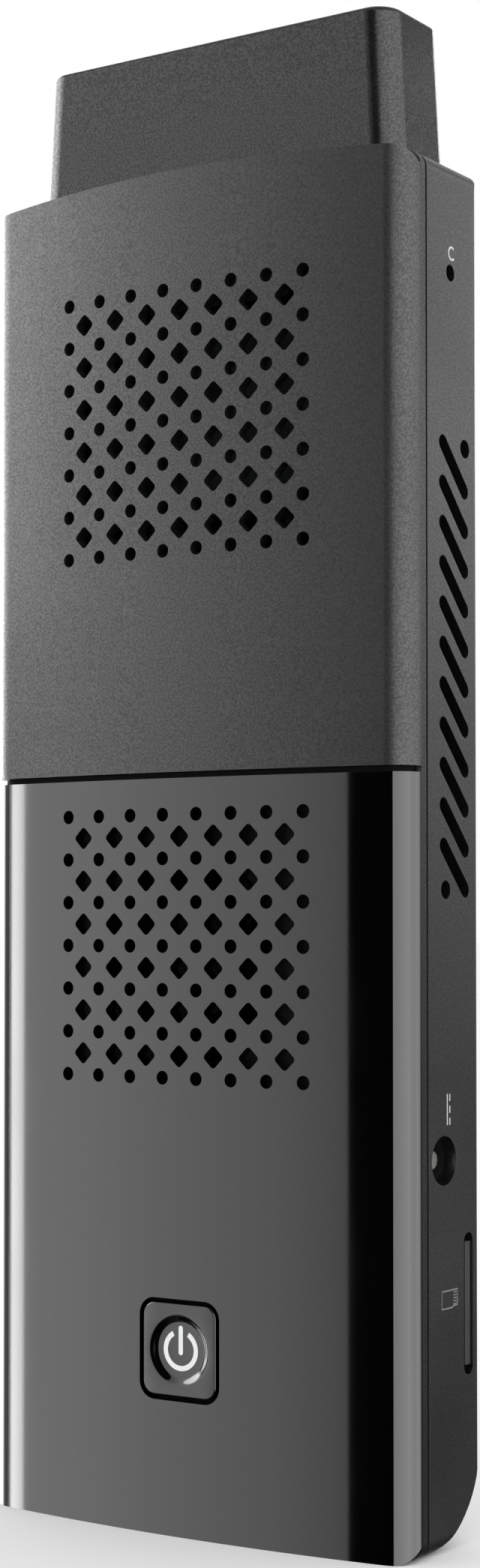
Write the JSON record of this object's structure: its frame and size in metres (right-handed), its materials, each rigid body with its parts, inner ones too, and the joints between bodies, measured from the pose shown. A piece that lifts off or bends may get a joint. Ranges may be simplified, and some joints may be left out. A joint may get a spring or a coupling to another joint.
{
  "type": "hdmi stick computer",
  "caption": "Stick computer with a covered plug at one end, crowned front with two vent fields, a push button, and ports down both sides.",
  "frame": {"origin": "on the display plug's axis, at the face of the neck that the plug stands out of", "axes": "+Z out along the plug, -Y out of the crowned front, +X to the right seen from the front"},
  "size_m": [0.0462, 0.0142, 0.1377],
  "materials": {
    "rear_shell": "fine matt grain",
    "upper_cover": "fine matt grain",
    "lower_panel": "high gloss",
    "front_frame": "satin",
    "hdmi_cap": "fine matt grain",
    "button_key": "high gloss",
    "symbol_white": "translucent white",
    "plug_steel": "nickel plated",
    "contact_gold": "gold plated",
    "black_insulator": "moulded",
    "board_green": "solder mask",
    "chip_black": "moulded package",
    "heat_aluminium": "black anodised",
    "pad_grey": "soft",
    "screw_steel": "blackened",
    "shield_steel": "tinned",
    "fan_black": "moulded",
    "copper": "enamelled wire",
    "lead_cover": "satin",
    "connector_white": "moulded",
    "ceramic": "fired",
    "card_blank": "moulded",
    "led_clear": "clear"
  },
  "bodies": {
    "case": {"rear_shell": "rear_shell", "upper_cover": "upper_cover", "lower_panel": "lower_panel", "front_frame": "front_frame", "case_screws": "screw_steel", "hdmi_plug_shell": "plug_steel", "hdmi_plug_core": "black_insulator", "hdmi_contacts": "contact_gold", "mainboard": "board_green", "soc_package": "chip_black", "thermal_pad": "pad_grey", "heatsink": "heat_aluminium", "sink_screws": "screw_steel", "memory_chips": "chip_black", "storage_chip": "chip_black", "radio_module": "shield_steel", "chip_aerial": "ceramic", "power_coils": "chip_black", "support_chips": "chip_black", "usb_shell_upper": "plug_steel", "usb_shell_lower": "plug_steel", "usb_tongue_upper": "black_insulator", "usb_tongue_lower": "black_insulator", "usb_contacts_upper": "contact_gold", "usb_contacts_lower": "contact_gold", "audio_jack": "black_insulator", "dc_inlet_body": "black_insulator", "dc_inlet_ring": "plug_steel", "dc_inlet_pin": "plug_steel", "card_socket_base": "black_insulator", "card_socket_cover": "shield_steel", "power_switch_body": "black_insulator", "power_led": "led_clear", "reset_switch_body": "black_insulator", "fan_housing": "fan_black", "fan_lid": "shield_steel", "fan_shaft": "plug_steel", "fan_coil": "copper", "fan_lead": "lead_cover", "fan_plug": "connector_white"},
    "cap": {"hdmi_cap": "hdmi_cap"},
    "power_button": {"power_key": "button_key", "power_symbol": "symbol_white"},
    "power_plunger": {"power_switch_plunger": "black_insulator"},
    "reset_plunger": {"reset_switch_plunger": "connector_white"},
    "rotor": {"fan_rotor": "fan_black"},
    "card": {"memory_card": "card_blank"}
  },
  "joints": [
    {"name": "cap_slide", "type": "slide", "parent": "case", "child": "cap", "axis": [0, 0, 1], "range_m": [0, 0.025]},
    {"name": "power_press", "type": "slide", "parent": "case", "child": "power_button", "axis": [0, 1, 0], "range_m": [0, 0.0004], "stiffness_N_per_m": 2000, "springref_m": -0.0004},
    {"name": "power_plunger_press", "type": "slide", "parent": "case", "child": "power_plunger", "axis": [0, 1, 0], "range_m": [0, 0.0004]},
    {"name": "reset_press", "type": "slide", "parent": "case", "child": "reset_plunger", "axis": [-1, 0, 0], "range_m": [0, 0.00025], "stiffness_N_per_m": 3000, "springref_m": -0.0002},
    {"name": "card_slide", "type": "slide", "parent": "case", "child": "card", "axis": [1, 0, 0], "range_m": [0, 0.012], "stiffness_N_per_m": 150, "springref_m": -0.001},
    {"name": "fan_spin", "type": "hinge", "parent": "case", "child": "rotor", "pos_m": [0, -0.004, -0.0747], "axis": [0, 1, 0], "continuous": true}
  ],
  "couplings": [
    {"joint": "power_plunger_press", "follows": "power_press", "ratio": 1}
  ]
}
